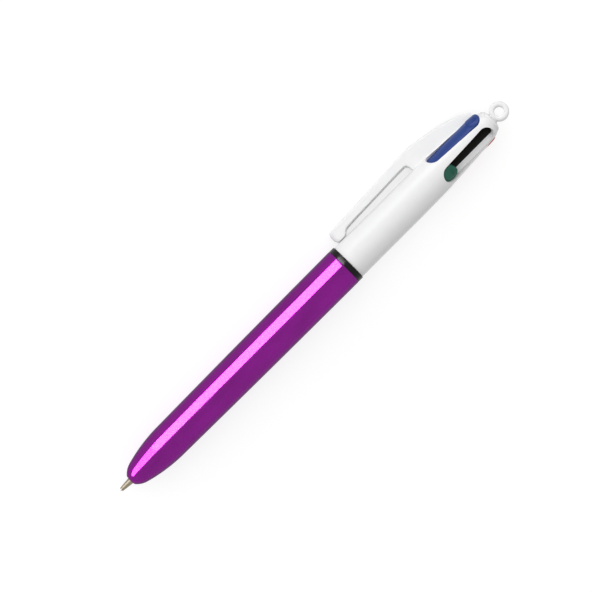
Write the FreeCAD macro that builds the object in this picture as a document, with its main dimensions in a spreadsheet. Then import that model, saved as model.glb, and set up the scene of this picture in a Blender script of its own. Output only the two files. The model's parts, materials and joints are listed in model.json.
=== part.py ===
import FreeCAD, Part
import math
import os
import Sketcher
from FreeCAD import Placement, Rotation, Vector

# A four-colour click pen lying on its side. Lengths are in millimetres.
# Every piece is drawn in the pen's own frame: X runs along the pen from the nose end to the
# lanyard ring, and +Z points at the pocket clip. Each slider is drawn with +Z at its own slot.

# Driving dimensions: name, value, meaning.
DIMENSIONS = [
    ("barrel_length", 81.1, "nose end face to the rear face of the barrel"),
    ("barrel_rear_radius", 5.68, "outside of the barrel in its rear part"),
    ("barrel_wall", 0.95, "wall of the barrel where its straight taper starts"),
    ("nose_face_radius", 1.52, "outside of the flat at the nose end"),
    ("nose_hole_radius", 1.2, "hole that the writing point comes through"),
    ("nose_hole_depth", 0.5, "straight part of that hole"),
    ("nose_bend_length", 2.95, "nose end to the end of the tight curve"),
    ("nose_bend_radius", 3.45, "outside radius at the end of the tight curve"),
    ("nose_tight_curve", 5.87, "radius of the curve beside the nose end"),
    ("nose_long_curve", 46.2, "radius of the curve behind it"),
    ("nose_cone_length", 10.0, "nose end to where the inside reaches its full bore"),
    ("shoulder_length", 15.06, "nose end to the start of the straight taper"),
    ("shoulder_radius", 5.17, "outside radius at the start of the straight taper"),
    ("taper_length", 50.0, "nose end to the end of the straight taper"),
    ("thread_depth", 7.9, "bore in the barrel's rear end that takes the joint ring"),
    ("thread_wall", 0.85, "wall of the barrel round that bore"),
    ("screw_fit", 0.05, "radial play of the screwed and pressed joints"),
    ("ring_width", 1.6, "black band between barrel and upper body"),
    ("ring_bore_radius", 4.1, "passage through the joint ring"),
    ("ring_front_spigot", 7.5, "joint ring inside the barrel"),
    ("ring_rear_spigot", 2.5, "joint ring inside the upper body"),
    ("guide_thickness", 1.2, "plate that the springs stand on"),
    ("guide_hole_radius", 1.42, "hole in the plate for a refill"),
    ("guide_hole_offset", 2.55, "pen axis to the middle of such a hole"),
    ("body_radius", 5.4, "outside of the upper body in front of the head"),
    ("body_waist_length", 30.2, "upper body's front to where the head begins to narrow"),
    ("head_front_radius", 5.22, "outside of the head at the slots' front end"),
    ("head_middle_setback", 7.6, "middle change of slope in front of the slots' rear end"),
    ("head_middle_radius", 4.55, "outside of the head there"),
    ("body_bore_radius", 4.6, "inside of the upper body in front of the slots"),
    ("slot_setback", 33.7, "upper body's front to the front end of the slots"),
    ("slot_length", 19.2, "opening of a slot along the pen"),
    ("slot_width", 4.4, "opening of a slot across"),
    ("head_setback", 1.1, "narrow end of the head in front of the slots' rear end"),
    ("head_rear_radius", 4.05, "outside of the head there"),
    ("end_wall", 0.6, "wall behind the slots"),
    ("end_radius", 3.4, "outside of the upper body at its rear face"),
    ("end_hole_radius", 2.5, "hole in that wall for the end cap"),
    ("bar_bore_front", 3.9, "inside of the bars at the slots' front end"),
    ("bar_bore_rear", 3.0, "inside of the bars at the slots' rear end"),
    ("core_setback", 4.4, "core in front of the slots' front end"),
    ("core_rear_gap", 0.6, "core's rear face in front of the end wall"),
    ("web_thickness", 0.8, "webs of the cross-shaped core"),
    ("cap_length", 1.3, "dome of the end cap"),
    ("cap_curve", 2.6, "radius of the dome's curve"),
    ("cap_flat_radius", 1.5, "flat at the top of the dome"),
    ("cap_plug", 0.95, "plug of the end cap in its hole"),
    ("loop_radius", 2.7, "outside of the lanyard ring"),
    ("loop_hole_radius", 1.3, "hole of the lanyard ring"),
    ("loop_thickness", 2.2, "lanyard ring across"),
    ("loop_sink", 0.15, "how far the ring's edge sits in the dome"),
    ("loop_edge", 0.55, "bevel of the ring's outer edges"),
    ("clip_width", 3.4, "clip across"),
    ("clip_setback", 1.4, "upper body's front to the clip's free end"),
    ("clip_root", 29.9, "upper body's front to the root where the clip bends"),
    ("clip_tip_height", 9.05, "pen axis to the clip's top at its free end"),
    ("clip_root_height", 10.6, "pen axis to the clip's top at its root"),
    ("clip_tip_underside", 6.95, "pen axis to the clip's underside near its free end"),
    ("clip_root_underside", 7.6, "pen axis to the clip's underside at its root"),
    ("clip_boss_length", 4.0, "boss under the free end, along the pen"),
    ("clip_boss_gap", 0.08, "boss to the upper body"),
    ("clip_tip_slant", 0.5, "slant of the free end's face"),
    ("clip_tip_chin", 1.5, "height of the boss's rounded front"),
    ("clip_side_wall", 0.9, "side walls of the clip's hollow underside"),
    ("clip_top_wall", 1.2, "wall over the hollow underside"),
    ("clip_edge", 0.7, "rounding of the clip's top edges"),
    ("fin_crest_length", 4.4, "root of the clip to the top of the fin's back"),
    ("fin_crest_height", 10.5, "pen axis to that top"),
    ("fin_back_curve", 42.0, "radius of the fin's sloping back"),
    ("fin_rear_height", 5.1, "pen axis to the fin's rear end"),
    ("fin_rear_width", 1.3, "fin across at its rear end"),
    ("fin_base_height", 4.4, "pen axis to the bottom of the fin, inside the wall"),
    ("slider_length", 27.5, "slider from its spring shoulder to its rear end"),
    ("slider_width", 4.2, "slider across"),
    ("slider_radius", 4.45, "outside of the slider's strip"),
    ("slider_inner_height", 3.0, "pen axis to the strip's inner face"),
    ("slot_play", 0.1, "thumb piece to the ends of its slot"),
    ("thumb_length", 5.0, "thumb piece along the pen"),
    ("thumb_radius", 5.15, "outside of the thumb piece"),
    ("thumb_ramp", 1.5, "slope at the front of the thumb piece"),
    ("thumb_fall", 0.5, "slope at the rear of the thumb piece"),
    ("groove_pitch", 0.75, "grip grooves of the thumb piece, one to the next"),
    ("groove_width", 0.35, "grip groove along the pen"),
    ("groove_depth", 0.16, "grip groove"),
    ("latch_setback", 5.5, "slider's rear end to the rear of its latch lug"),
    ("latch_length", 2.0, "latch lug along the pen"),
    ("latch_width", 1.2, "latch lug across"),
    ("latch_height", 1.6, "pen axis to the latch lug"),
    ("shoulder_disc_radius", 1.55, "disc that the spring pushes on"),
    ("shoulder_disc_length", 2.5, "that disc along the pen"),
    ("nipple_width", 1.0, "square nipple that holds the refill"),
    ("nipple_length", 3.0, "that nipple along the pen"),
    ("refill_pitch", 2.95, "pen axis to the top end of a refill"),
    ("parked_offset", 2.33, "pen axis to a parked writing point"),
    ("point_reach", 4.0, "writing point in front of the nose when it is out"),
    ("tube_radius", 1.15, "outside of a refill tube"),
    ("tube_bore_radius", 0.85, "inside of a refill tube"),
    ("tube_end_gap", 0.06, "rear end of a refill tube to the slider"),
    ("ball_radius", 0.5, "writing ball"),
    ("socket_play", 0.02, "radial play of the ball in its socket"),
    ("lip_setback", 0.55, "front of the ball to the edge of its socket"),
    ("cone_length", 5.5, "ball's front to where the point has the tube's width"),
    ("point_length", 9.0, "ball's front to the tube's end face"),
    ("point_plug", 4.0, "plug of the point inside the tube"),
    ("spring_mean_radius", 1.45, "axis of the wire from the spring's axis"),
    ("spring_wire", 0.35, "thickness of the spring wire"),
    ("spring_turns", 6, "turns of a spring"),
    ("spring_seat_gap", 0.03, "end of a spring to its seat"),
]

COLOURS = ["blue", "green", "red", "black"]
WRITING_COLOUR = "green"
CLIP_TO_FIRST_SLOT = 45
SLOT_STEP = 90
WIRE_SIDES = 4
STEPS_PER_TURN = 8
BALL_SIDES = 10
BALL_RINGS = 6
GROOVE_COUNT = 3


class Size:
    """A length that keeps its number and the sheet formula that gives it."""

    def __init__(self, number, formula):
        self.number = float(number)
        self.formula = formula

    def __add__(self, other):
        other = as_size(other)
        return Size(self.number + other.number, f"({self.formula} + {other.formula})")

    def __sub__(self, other):
        other = as_size(other)
        return Size(self.number - other.number, f"({self.formula} - {other.formula})")

    def __mul__(self, other):
        other = as_size(other)
        return Size(self.number * other.number, f"({self.formula} * {other.formula})")

    def __truediv__(self, other):
        other = as_size(other)
        return Size(self.number / other.number, f"({self.formula} / {other.formula})")

    def __neg__(self):
        return Size(-self.number, f"(0 - {self.formula})")

    def __float__(self):
        return self.number


def as_size(value):
    """A plain number as a size that follows nothing."""
    return value if isinstance(value, Size) else Size(value, repr(float(value)))


doc = FreeCAD.newDocument("MulticolourPen")


def make_sheet():
    """Write the driving dimensions into the sheet and give each a size of its name."""
    sheet = doc.addObject("Spreadsheet::Sheet", "Sizes")
    sizes = {}
    for row, (name, value, meaning) in enumerate(DIMENSIONS, start=1):
        sheet.set(f"A{row}", name)
        sheet.set(f"B{row}", str(value))
        sheet.set(f"C{row}", meaning)
        sheet.setAlias(f"B{row}", name)
        sizes[name] = Size(value, f"Sizes.{name}")
    doc.recompute()
    return sizes


D = make_sheet()

# Places along the pen, from the nose end face.
BODY_FRONT = D["barrel_length"] + D["ring_width"]
GUIDE_FRONT = BODY_FRONT + D["ring_rear_spigot"]
GUIDE_REAR = GUIDE_FRONT + D["guide_thickness"]
SLOT_FRONT = BODY_FRONT + D["slot_setback"]
SLOT_REAR = SLOT_FRONT + D["slot_length"]
BODY_REAR = SLOT_REAR + D["end_wall"]
CAP_REAR = BODY_REAR + D["cap_length"]
LOOP_CENTRE = CAP_REAR - D["loop_sink"] + D["loop_radius"]
CLIP_ROOT = BODY_FRONT + D["clip_root"]
SLIDER_REAR = SLOT_REAR - D["slot_play"]
SHOULDER_FACE = SLIDER_REAR - D["slider_length"]
STROKE = D["slot_length"] - D["thumb_length"] - D["slot_play"] * 2
REFILL_LENGTH = SHOULDER_FACE - STROKE + D["point_reach"]
SPRING_GAP = D["spring_wire"] / 2 + D["spring_seat_gap"]


def tilt_of(tip_offset):
    """Lean of a refill, in degrees, that brings its point to a distance from the pen axis."""
    rise = float(D["refill_pitch"]) - tip_offset
    return math.degrees(math.asin(rise / float(REFILL_LENGTH)))


PARKED_TILT = tilt_of(float(D["parked_offset"]))
WRITING_TILT = tilt_of(0.0)


def pen_placement():
    """Lay the pen on its barrel and its clip, with the middle of its box over the origin."""
    radius = float(D["barrel_rear_radius"])
    half_width = float(D["clip_width"]) / 2 - float(D["clip_edge"])
    crest = float(D["clip_root_height"]) - float(D["clip_edge"])
    reach = math.hypot(crest, half_width)
    drop = radius - float(D["clip_edge"])
    # The clip's lower rounded edge touches the floor, which is one barrel radius below the axis.
    clip_angle = math.degrees(math.atan2(half_width, crest) + math.acos(drop / reach)) - 90
    roll = clip_angle - 90
    upper_edge = math.radians(clip_angle) + math.atan2(half_width, crest)
    widest = reach * math.cos(upper_edge) + float(D["clip_edge"])
    front = float(SHOULDER_FACE - STROKE)
    front -= float(REFILL_LENGTH) * math.cos(math.radians(WRITING_TILT))
    rear = float(LOOP_CENTRE + D["loop_radius"])
    centre = Vector(-(front + rear) / 2, (radius - widest) / 2, radius)
    return Placement(centre, Rotation(Vector(1, 0, 0), roll)), clip_angle


PEN, CLIP_ANGLE = pen_placement()


def slot_turn(index):
    """Turn about the pen axis from the clip to one of the four slots."""
    angle = CLIP_TO_FIRST_SLOT + SLOT_STEP * index
    return Placement(Vector(0, 0, 0), Rotation(Vector(1, 0, 0), angle))


def slider_shift(colour):
    """The writing colour's slider is pushed forward by one stroke."""
    travel = float(STROKE) if colour == WRITING_COLOUR else 0.0
    return Placement(Vector(-travel, 0, 0), Rotation())


def refill_lean(colour):
    """Lean a refill about its top end."""
    tilt = WRITING_TILT if colour == WRITING_COLOUR else PARKED_TILT
    pivot = Vector(float(SHOULDER_FACE), 0, float(D["refill_pitch"]))
    return Placement(Vector(0, 0, 0), Rotation(Vector(0, 1, 0), -tilt), pivot)


def slider_placement(index, colour):
    return PEN * slot_turn(index) * slider_shift(colour)


def refill_placement(index, colour):
    return slider_placement(index, colour) * refill_lean(colour)


def new_body(name, placement):
    body = doc.addObject("PartDesign::Body", name)
    body.Label = name
    body.Placement = placement
    return body


def origin_plane(body, role):
    return next(item for item in body.Origin.OriginFeatures if item.Role == role)


def bind(feature, path, size):
    """Tie one property or constraint to its formula."""
    if "Sizes." in size.formula:
        feature.setExpression(path, size.formula)


class Bend:
    """A round edge to the next corner, whole or cut into straight runs that stand on the arc."""

    def __init__(self, radius, left=False, runs=0):
        self.radius = as_size(radius)
        self.left = left
        self.runs = runs


def arc_between(start, end, bend):
    """The short arc between two points, and whether it is stored from start to end."""
    middle = (start + end) / 2
    chord = end - start
    radius = bend.radius.number
    height = math.sqrt(max(radius ** 2 - (chord.Length / 2) ** 2, 0.0))
    side = Vector(-chord.y, chord.x, 0).normalize()
    centre = middle + side * (height if bend.left else -height)
    first, last = (start, end) if bend.left else (end, start)
    low = math.atan2(first.y - centre.y, first.x - centre.x)
    high = math.atan2(last.y - centre.y, last.x - centre.x)
    circle = Part.Circle(centre, Vector(0, 0, 1), radius)
    return Part.ArcOfCircle(circle, low, high), bend.left


def pin(sketch, geometry, point, across, up):
    """Hold one point of a sketch at its two coordinates."""
    for kind, size, axis in (("DistanceX", across, -2), ("DistanceY", up, -1)):
        if size.number == 0 and "Sizes." not in size.formula:
            sketch.addConstraint(Sketcher.Constraint("PointOnObject", geometry, point, axis))
            continue
        constraint = Sketcher.Constraint(kind, -1, 1, geometry, point, size.number)
        number = sketch.addConstraint(constraint)
        bind(sketch, f"Constraints[{number}]", size)


def new_sketch(body, name, role, turn=0):
    """A sketch on one of the body's own planes, turned about the pen axis if asked."""
    sketch = body.newObject("Sketcher::SketchObject", name)
    sketch.AttachmentSupport = [(origin_plane(body, role), "")]
    sketch.MapMode = "FlatFace"
    sketch.AttachmentOffset = Placement(Vector(0, 0, 0), Rotation(Vector(1, 0, 0), turn))
    return sketch


def straight_runs(sketch, arc_geometry, arc, ends, runs):
    """Equal straight runs from end to end of a construction arc, with their corners on it."""
    step = (arc.LastParameter - arc.FirstParameter) / runs
    corners = [arc.value(arc.FirstParameter + step * count) for count in range(runs + 1)]
    if ends == (2, 1):
        corners.reverse()
    lines = []
    for start, end in zip(corners, corners[1:]):
        lines.append(sketch.addGeometry(Part.LineSegment(start, end), False))
    for line in lines[1:]:
        sketch.addConstraint(Sketcher.Constraint("Equal", lines[0], line))
        sketch.addConstraint(Sketcher.Constraint("PointOnObject", line, 1, arc_geometry))
    sketch.addConstraint(Sketcher.Constraint("Coincident", arc_geometry, ends[0], lines[0], 1))
    sketch.addConstraint(Sketcher.Constraint("Coincident", arc_geometry, ends[1], lines[-1], 2))
    return [(line, 1, 2) for line in lines]


def section_at(body, name, along):
    """A sketch across the pen at a bound place along it."""
    sketch = new_sketch(body, name, "YZ_Plane")
    sketch.AttachmentOffset = Placement(Vector(0, 0, along.number), Rotation())
    bind(sketch, "AttachmentOffset.Base.z", along)
    return sketch


def outline(sketch, corners):
    """A closed outline. A corner is (across, up), or (across, up, Bend) before a round edge."""
    places = []
    for corner in corners:
        places.append((as_size(corner[0]), as_size(corner[1])))
    edges = []
    held = []
    for index, corner in enumerate(corners):
        across, up = places[index]
        next_across, next_up = places[(index + 1) % len(corners)]
        start = Vector(across.number, up.number, 0)
        end = Vector(next_across.number, next_up.number, 0)
        held.append((len(edges), places[index]))
        if len(corner) == 2:
            edges.append((sketch.addGeometry(Part.LineSegment(start, end), False), 1, 2))
            continue
        bend = corner[2]
        arc, forward = arc_between(start, end, bend)
        geometry = sketch.addGeometry(arc, bend.runs > 0)
        number = sketch.addConstraint(
            Sketcher.Constraint("Radius", geometry, bend.radius.number))
        bind(sketch, f"Constraints[{number}]", bend.radius)
        ends = (1, 2) if forward else (2, 1)
        if bend.runs == 0:
            edges.append((geometry, *ends))
            continue
        edges += straight_runs(sketch, geometry, arc, ends, bend.runs)
    for index, (geometry, first, last) in enumerate(edges):
        following = edges[(index + 1) % len(edges)]
        sketch.addConstraint(
            Sketcher.Constraint("Coincident", geometry, last, following[0], following[1]))
    for index, place in held:
        geometry, first, last = edges[index]
        pin(sketch, geometry, first, *place)
    return sketch


def circle(sketch, across, up, radius):
    """A circle with its centre and radius bound."""
    across, up, radius = as_size(across), as_size(up), as_size(radius)
    centre = Vector(across.number, up.number, 0)
    geometry = sketch.addGeometry(Part.Circle(centre, Vector(0, 0, 1), radius.number), False)
    number = sketch.addConstraint(Sketcher.Constraint("Radius", geometry, radius.number))
    bind(sketch, f"Constraints[{number}]", radius)
    pin(sketch, geometry, 3, across, up)
    return sketch


def rectangle(low_across, low_up, high_across, high_up):
    return [(low_across, low_up), (high_across, low_up),
            (high_across, high_up), (low_across, high_up)]


def turned(body, name, corners, kind="Revolution"):
    """Turn an outline of (along, radius) points about the pen axis."""
    sketch = outline(new_sketch(body, f"{name}Outline", "XZ_Plane"), corners)
    feature = body.newObject(f"PartDesign::{kind}", name)
    feature.Profile = sketch
    feature.ReferenceAxis = (sketch, ["H_Axis"])
    feature.Angle = 360
    sketch.Visibility = False
    return feature


def extruded(body, name, sketch, length, kind="Pad", both_ways=False, forward=True):
    """Pad or pocket a sketch by a bound length, along its normal or to both sides of it."""
    feature = body.newObject(f"PartDesign::{kind}", name)
    feature.Profile = sketch
    length = as_size(length)
    feature.Length = length.number
    bind(feature, "Length", length)
    if both_ways:
        feature.SideType = "Symmetric"
    # A pocket cuts against its sketch's normal unless it is reversed.
    feature.Reversed = (not forward) if kind == "Pad" else forward
    sketch.Visibility = False
    return feature


def round_pattern(body, name, feature, count):
    """Repeat a feature about the pen axis."""
    pattern = body.newObject("PartDesign::PolarPattern", name)
    pattern.Originals = [feature]
    pattern.Axis = (origin_plane(body, "X_Axis"), [""])
    pattern.Angle = 360
    pattern.Occurrences = count
    body.Tip = pattern
    return pattern


def rounded(body, name, test, radius, kind="Fillet"):
    """Round those edges of the tip whose middle and direction pass a test."""
    doc.recompute()
    base = body.Tip
    chosen = []
    for number, edge in enumerate(base.Shape.Edges, start=1):
        if edge.Length > 0 and test(edge):
            chosen.append(f"Edge{number}")
    feature = body.newObject(f"PartDesign::{kind}", name)
    feature.Base = (base, chosen)
    path = "Radius" if kind == "Fillet" else "Size"
    setattr(feature, path, radius.number)
    bind(feature, path, radius)
    body.Tip = feature
    return feature


def make_front_barrel():
    """Metallised barrel: an ogive nose, a slight taper and a bore for the joint ring."""
    body = new_body("front_barrel", PEN)
    bore = D["barrel_rear_radius"] - D["thread_wall"]
    step = D["barrel_length"] - D["thread_depth"]
    inside = D["shoulder_radius"] - D["barrel_wall"]
    turned(body, "Shell", [
        (0, D["nose_hole_radius"]),
        (0, D["nose_face_radius"], Bend(D["nose_tight_curve"], runs=3)),
        (D["nose_bend_length"], D["nose_bend_radius"], Bend(D["nose_long_curve"], runs=3)),
        (D["shoulder_length"], D["shoulder_radius"]),
        (D["taper_length"], D["barrel_rear_radius"]),
        (D["barrel_length"], D["barrel_rear_radius"]),
        (D["barrel_length"], bore),
        (step, bore),
        (step, inside),
        (D["nose_cone_length"], inside),
        (D["nose_hole_depth"], D["nose_hole_radius"]),
    ])
    return body


def make_joint_ring():
    """Black band that shows between the two halves, with a spigot into each."""
    body = new_body("joint_ring", PEN)
    bore = D["ring_bore_radius"]
    front_radius = D["barrel_rear_radius"] - D["thread_wall"] - D["screw_fit"]
    rear_radius = D["body_bore_radius"] - D["screw_fit"]
    front = D["barrel_length"] - D["ring_front_spigot"]
    turned(body, "Band", [
        (front, bore),
        (front, front_radius),
        (D["barrel_length"], front_radius),
        (D["barrel_length"], D["barrel_rear_radius"]),
        (BODY_FRONT, D["barrel_rear_radius"]),
        (BODY_FRONT, rear_radius),
        (GUIDE_FRONT, rear_radius),
        (GUIDE_FRONT, bore),
    ])
    return body


def make_spring_guide():
    """Plate across the upper body: the springs stand on it and the refills pass through."""
    body = new_body("spring_guide", PEN)
    radius = D["body_bore_radius"] - D["screw_fit"]
    turned(body, "Plate", rectangle(GUIDE_FRONT, 0, GUIDE_REAR, radius))
    hole = new_sketch(body, "HoleOutline", "YZ_Plane")
    circle(hole, 0, D["guide_hole_offset"], D["guide_hole_radius"])
    # The sheet's whole length in front of the plate is open, so the cut runs right along it.
    cut = extruded(body, "Hole", hole, GUIDE_REAR * 2, "Pocket")
    holes = round_pattern(body, "Holes", cut, len(COLOURS))
    holes.Axis = (origin_plane(body, "X_Axis"), [""])
    body.Placement = PEN * slot_turn(0)
    return body


def make_upper_body():
    """White shell with the clip's fin, four slots and the bars between them."""
    body = new_body("upper_body", PEN)
    crest = CLIP_ROOT + D["fin_crest_length"]
    fin_rear = SLOT_REAR - D["head_setback"]
    side = new_sketch(body, "FinSideOutline", "XZ_Plane")
    outline(side, [
        (CLIP_ROOT, D["fin_base_height"]),
        (CLIP_ROOT, D["clip_root_height"]),
        (crest, D["fin_crest_height"], Bend(D["fin_back_curve"])),
        (fin_rear, D["fin_rear_height"]),
        (fin_rear, D["fin_base_height"] - D["end_wall"] * 2),
        (crest, D["fin_base_height"] - D["end_wall"] * 2),
    ])
    extruded(body, "Fin", side, D["clip_width"], both_ways=True)
    top = float(D["fin_crest_height"]) - 0.01

    def on_the_crest(edge):
        box = edge.BoundBox
        return box.YLength < 1e-6 and box.ZMax > top and box.XLength > 1

    rounded(body, "FinTopEdges", on_the_crest, D["clip_edge"])
    for name, sign in (("Left", 1), ("Right", -1)):
        plan = new_sketch(body, f"FinTaper{name}", "XY_Plane")
        near = D["clip_width"] / 2 * sign
        far = D["fin_rear_width"] / 2 * sign
        outside = D["clip_width"] * sign
        outline(plan, [
            (CLIP_ROOT, near), (fin_rear, far), (SLOT_REAR, far),
            (SLOT_REAR, outside), (CLIP_ROOT, outside),
        ])
        extruded(body, f"FinSide{name}", plan, D["clip_root_height"] * 2, "Pocket")
    turned(body, "Shell", [
        (BODY_FRONT, 0),
        (BODY_FRONT, D["body_radius"]),
        (BODY_FRONT + D["body_waist_length"], D["body_radius"]),
        (SLOT_FRONT, D["head_front_radius"]),
        (SLOT_REAR - D["head_middle_setback"], D["head_middle_radius"]),
        (fin_rear, D["head_rear_radius"]),
        (BODY_REAR, D["end_radius"]),
        (BODY_REAR, 0),
    ])
    turned(body, "Bore", [
        (BODY_FRONT - D["ring_width"], 0),
        (BODY_FRONT - D["ring_width"], D["body_bore_radius"]),
        (SLOT_FRONT, D["body_bore_radius"]),
        (SLOT_FRONT, D["bar_bore_front"]),
        (SLOT_REAR, D["bar_bore_rear"]),
        (SLOT_REAR, D["end_hole_radius"]),
        (CAP_REAR, D["end_hole_radius"]),
        (CAP_REAR, 0),
    ], "Groove")
    half = D["slot_width"] / 2
    plan = new_sketch(body, "SlotOutline", "XY_Plane", CLIP_TO_FIRST_SLOT)
    outline(plan, rectangle(SLOT_FRONT, -half, SLOT_REAR, half))
    slot = extruded(body, "Slot", plan, D["clip_root_height"], "Pocket")
    round_pattern(body, "Slots", slot, len(COLOURS))
    return body


def make_slider_core():
    """Cross-shaped core inside the head: its webs keep the four sliders apart."""
    body = new_body("slider_core", PEN)
    front = SLOT_FRONT - D["core_setback"]
    rear = SLOT_REAR - D["core_rear_gap"]
    slope = (D["bar_bore_front"] - D["bar_bore_rear"]) / D["slot_length"]
    front_radius = D["bar_bore_front"] - D["screw_fit"]
    rear_radius = D["bar_bore_rear"] - D["screw_fit"] + slope * D["core_rear_gap"]
    turned(body, "Cone", [
        (front, 0), (front, front_radius), (SLOT_FRONT, front_radius),
        (rear, rear_radius), (rear, 0),
    ])
    # A channel's floor is the corner between two webs at right angles.
    corner = D["web_thickness"] * math.sqrt(0.5)
    reach = D["body_bore_radius"]
    section = new_sketch(body, "ChannelOutline", "YZ_Plane")
    outline(section, [(0, corner), (reach, corner + reach), (-reach, corner + reach)])
    cut = extruded(body, "Channel", section, SLOT_REAR * 2, "Pocket")
    round_pattern(body, "Channels", cut, len(COLOURS))
    body.Placement = PEN * slot_turn(0)
    return body


def make_end_cap():
    """Domed cap with the lanyard ring, plugged into the rear end."""
    body = new_body("end_cap", PEN)
    turned(body, "Dome", [
        (BODY_REAR - D["cap_plug"], 0),
        (BODY_REAR - D["cap_plug"], D["end_hole_radius"] - D["screw_fit"]),
        (BODY_REAR, D["end_hole_radius"] - D["screw_fit"]),
        (BODY_REAR, D["end_radius"], Bend(D["cap_curve"], runs=2)),
        (CAP_REAR, D["cap_flat_radius"]),
        (CAP_REAR, 0),
    ])
    half = D["loop_thickness"] / 2
    inside = LOOP_CENTRE + D["loop_hole_radius"]
    outside = LOOP_CENTRE + D["loop_radius"]
    edge = D["loop_edge"]
    section = new_sketch(body, "LoopSection", "XY_Plane")
    outline(section, [
        (inside, -half),
        (outside - edge, -half),
        (outside, edge - half),
        (outside, half - edge),
        (outside - edge, half),
        (inside, half),
    ])
    axis = section.addGeometry(Part.LineSegment(
        Vector(LOOP_CENTRE.number, -half.number, 0), Vector(LOOP_CENTRE.number, half.number, 0)), True)
    pin(section, axis, 1, LOOP_CENTRE, -half)
    pin(section, axis, 2, LOOP_CENTRE, half)
    loop = body.newObject("PartDesign::Revolution", "Loop")
    loop.Profile = section
    loop.ReferenceAxis = (section, ["Axis0"])
    loop.Angle = 360
    return body


def make_pocket_clip():
    """Springy clip arm, hollow from below, with a rounded boss that rests on the body."""
    body = new_body("pocket_clip", PEN)
    tip = BODY_FRONT + D["clip_setback"]
    boss_rear = tip + D["clip_boss_length"]
    floor = D["body_radius"] + D["clip_boss_gap"]
    side = new_sketch(body, "ArmOutline", "XZ_Plane")
    outline(side, [
        (tip, floor + D["clip_tip_chin"]),
        (tip + D["clip_tip_slant"], D["clip_tip_height"]),
        (CLIP_ROOT, D["clip_root_height"]),
        (CLIP_ROOT, D["clip_root_underside"]),
        (boss_rear, D["clip_tip_underside"], Bend(D["clip_tip_chin"], left=True)),
        (boss_rear - D["clip_boss_length"] / 4, floor),
        (tip + D["clip_boss_length"] / 4, floor, Bend(D["clip_tip_chin"] * 1.5)),
    ])
    extruded(body, "Arm", side, D["clip_width"], both_ways=True)

    def on_the_top(edge):
        flat = edge.BoundBox.YLength < 1e-6
        high = edge.BoundBox.ZMin > float(D["clip_tip_height"]) - 0.01
        return flat and high and edge.BoundBox.XLength > 1

    rounded(body, "TopEdges", on_the_top, D["clip_edge"])
    hollow = new_sketch(body, "HollowOutline", "XZ_Plane")
    outline(hollow, [
        (boss_rear, floor),
        (boss_rear, D["clip_tip_height"] - D["clip_top_wall"]),
        (CLIP_ROOT - D["clip_top_wall"], D["clip_root_height"] - D["clip_top_wall"]),
        (CLIP_ROOT - D["clip_top_wall"], floor),
    ])
    width = D["clip_width"] - D["clip_side_wall"] * 2
    extruded(body, "Hollow", hollow, width, "Pocket", both_ways=True)
    return body


def make_slider(index, colour):
    """Coloured slider: thumb piece, strip, latch lug, spring shoulder and refill nipple."""
    body = new_body(f"slider_{colour}", slider_placement(index, colour))
    front = SHOULDER_FACE
    rear = SLIDER_REAR
    thumb_front = rear - D["thumb_length"]
    inner = D["slider_inner_height"]
    outer = D["slider_radius"]
    latch_rear = rear - D["latch_setback"]
    latch_front = latch_rear - D["latch_length"]
    side = new_sketch(body, "StripOutline", "XZ_Plane")
    outline(side, [
        (front, inner),
        (front, outer),
        (thumb_front, outer),
        (thumb_front + D["thumb_ramp"], D["thumb_radius"]),
        (rear - D["thumb_fall"], D["thumb_radius"]),
        (rear, D["thumb_radius"] - D["thumb_fall"]),
        (rear, inner),
    ])
    extruded(body, "Strip", side, D["slider_width"], both_ways=True)
    # The outer faces are round about the pen axis.
    sky = D["thumb_radius"] * 2
    turned(body, "RoundOuterFaces", [
        (front - D["nipple_length"], outer),
        (thumb_front, outer),
        (thumb_front + D["thumb_ramp"], D["thumb_radius"]),
        (rear - D["thumb_fall"], D["thumb_radius"]),
        (rear, D["thumb_radius"] - D["thumb_fall"]),
        (rear + D["thumb_fall"], D["thumb_radius"] - D["thumb_fall"]),
        (rear + D["thumb_fall"], sky),
        (front - D["nipple_length"], sky),
    ], "Groove")
    groove_front = thumb_front + D["thumb_ramp"] + D["groove_pitch"] / 4
    floor = D["thumb_radius"] - D["groove_depth"]
    mark = new_sketch(body, "GripOutline", "XZ_Plane")
    outline(mark, rectangle(groove_front, floor, groove_front + D["groove_width"], sky))
    cut = extruded(body, "GripGroove", mark, D["slider_width"] * 2, "Pocket", both_ways=True)
    pattern = body.newObject("PartDesign::LinearPattern", "GripGrooves")
    pattern.Originals = [cut]
    pattern.Direction = (origin_plane(body, "X_Axis"), [""])
    span = D["groove_pitch"] * (GROOVE_COUNT - 1)
    pattern.Length = span.number
    bind(pattern, "Length", span)
    pattern.Occurrences = GROOVE_COUNT
    body.Tip = pattern
    lug = new_sketch(body, "LatchOutline", "XZ_Plane")
    outline(lug, rectangle(latch_front, D["latch_height"], latch_rear, inner + D["slot_play"]))
    extruded(body, "LatchLug", lug, D["latch_width"], both_ways=True)
    pitch = D["refill_pitch"]
    half = D["nipple_width"] / 2
    disc = section_at(body, "SpringShoulderOutline", front)
    circle(disc, 0, pitch, D["shoulder_disc_radius"])
    extruded(body, "SpringShoulder", disc, D["shoulder_disc_length"])
    peg = section_at(body, "NippleOutline", front - D["nipple_length"])
    outline(peg, rectangle(-half, pitch - half, half, pitch + half))
    extruded(body, "Nipple", peg, D["nipple_length"])
    return body


def along_refill(distance):
    """Place on a refill, as a distance behind the front of its ball."""
    return SHOULDER_FACE - REFILL_LENGTH + distance


def refill_body(kind, index, colour):
    """A turned piece of a refill is drawn on the pen axis and then moved out to the nipple."""
    body = new_body(f"{kind}_{colour}", Placement())
    lift = Placement(Vector(0, 0, float(D["refill_pitch"])), Rotation())
    body.Placement = refill_placement(index, colour) * lift
    return body


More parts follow.
